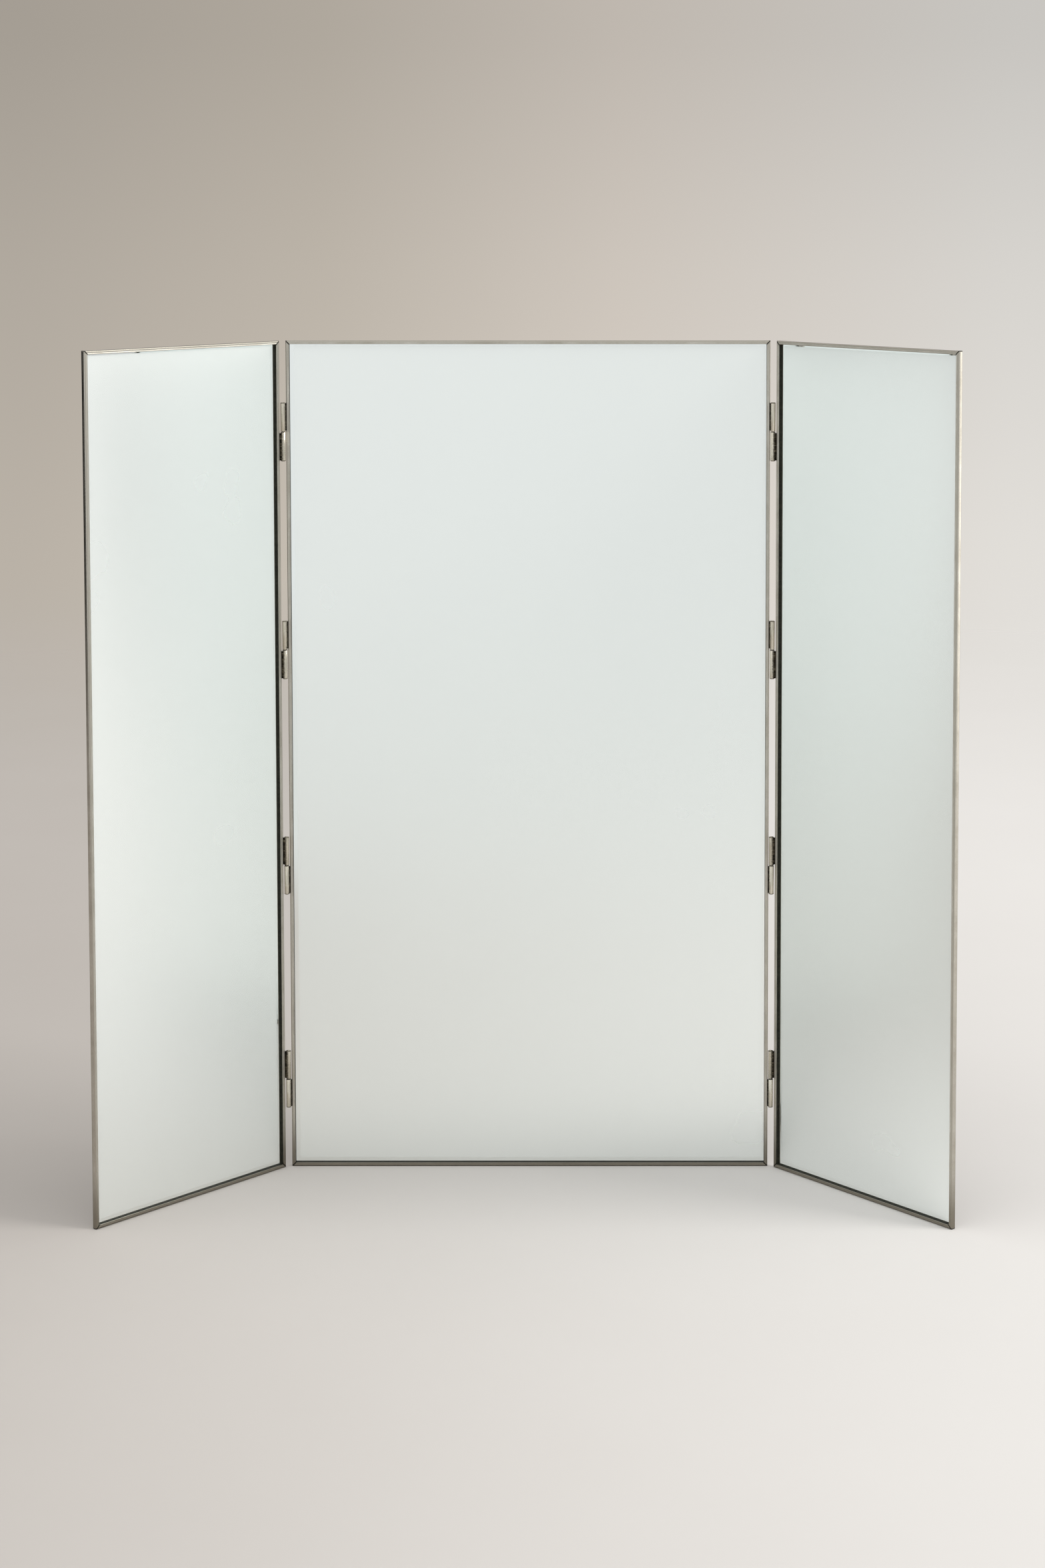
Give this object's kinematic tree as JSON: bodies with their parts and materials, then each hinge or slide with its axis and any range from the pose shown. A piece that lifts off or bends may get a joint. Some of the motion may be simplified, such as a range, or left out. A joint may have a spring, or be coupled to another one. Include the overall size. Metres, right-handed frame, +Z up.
{
  "type": "three-panel folding floor mirror",
  "caption": "Free-standing folding screen of framed mirrors: a wide centre panel with a half-width wing hinged on each side, in slim mitred metal frames.",
  "frame": {"origin": "middle of the underside of the centre panel's bottom rail, on the floor", "axes": "+Z up, +X to the right of the centre panel seen from its mirrored side, +Y backward; the mirrors of the centre panel face -Y"},
  "size_m": [1.177, 0.2665, 1.2],
  "materials": {
    "frame_steel": "satin nickel plated, aged, with darker edges",
    "mirror_glass": "silvered float glass with a faint green grey tint",
    "gasket_rubber": "matt black",
    "backing_sheet": "matt charcoal powder coat",
    "key_steel": "bare steel strip",
    "hinge_steel": "turned and nickel plated, warm, with dull weld beads",
    "pin_steel": "ground"
  },
  "bodies": {
    "centre_panel": {"centre_backing_sheet": "backing_sheet", "centre_bottom_rail": "frame_steel", "centre_glazing_gasket": "gasket_rubber", "centre_left_stile": "frame_steel", "centre_lower_left_key": "key_steel", "centre_lower_right_key": "key_steel", "centre_mirror_glass": "mirror_glass", "centre_right_stile": "frame_steel", "centre_top_rail": "frame_steel", "centre_upper_left_key": "key_steel", "centre_upper_right_key": "key_steel", "left_hinge_1_centre_knuckle": "hinge_steel", "left_hinge_1_pin": "pin_steel", "left_hinge_2_centre_knuckle": "hinge_steel", "left_hinge_2_pin": "pin_steel", "left_hinge_3_centre_knuckle": "hinge_steel", "left_hinge_3_pin": "pin_steel", "left_hinge_4_centre_knuckle": "hinge_steel", "left_hinge_4_pin": "pin_steel", "right_hinge_1_centre_knuckle": "hinge_steel", "right_hinge_1_pin": "pin_steel", "right_hinge_2_centre_knuckle": "hinge_steel", "right_hinge_2_pin": "pin_steel", "right_hinge_3_centre_knuckle": "hinge_steel", "right_hinge_3_pin": "pin_steel", "right_hinge_4_centre_knuckle": "hinge_steel", "right_hinge_4_pin": "pin_steel"},
    "left_wing": {"left_hinge_1_wing_knuckle": "hinge_steel", "left_hinge_2_wing_knuckle": "hinge_steel", "left_hinge_3_wing_knuckle": "hinge_steel", "left_hinge_4_wing_knuckle": "hinge_steel", "left_wing_backing_sheet": "backing_sheet", "left_wing_bottom_rail": "frame_steel", "left_wing_glazing_gasket": "gasket_rubber", "left_wing_left_stile": "frame_steel", "left_wing_lower_left_key": "key_steel", "left_wing_lower_right_key": "key_steel", "left_wing_mirror_glass": "mirror_glass", "left_wing_right_stile": "frame_steel", "left_wing_top_rail": "frame_steel", "left_wing_upper_left_key": "key_steel", "left_wing_upper_right_key": "key_steel"},
    "right_wing": {"right_hinge_1_wing_knuckle": "hinge_steel", "right_hinge_2_wing_knuckle": "hinge_steel", "right_hinge_3_wing_knuckle": "hinge_steel", "right_hinge_4_wing_knuckle": "hinge_steel", "right_wing_backing_sheet": "backing_sheet", "right_wing_bottom_rail": "frame_steel", "right_wing_glazing_gasket": "gasket_rubber", "right_wing_left_stile": "frame_steel", "right_wing_lower_left_key": "key_steel", "right_wing_lower_right_key": "key_steel", "right_wing_mirror_glass": "mirror_glass", "right_wing_right_stile": "frame_steel", "right_wing_top_rail": "frame_steel", "right_wing_upper_left_key": "key_steel", "right_wing_upper_right_key": "key_steel"}
  },
  "joints": [
    {"name": "left_wing_fold", "type": "hinge", "parent": "centre_panel", "child": "left_wing", "pos_m": [-0.349, -0.00615, 0.6], "axis": [0, 0, 1], "range_deg": [-85, 132]},
    {"name": "right_wing_fold", "type": "hinge", "parent": "centre_panel", "child": "right_wing", "pos_m": [0.349, -0.00615, 0.6], "axis": [0, 0, -1], "range_deg": [-85, 132]}
  ]
}
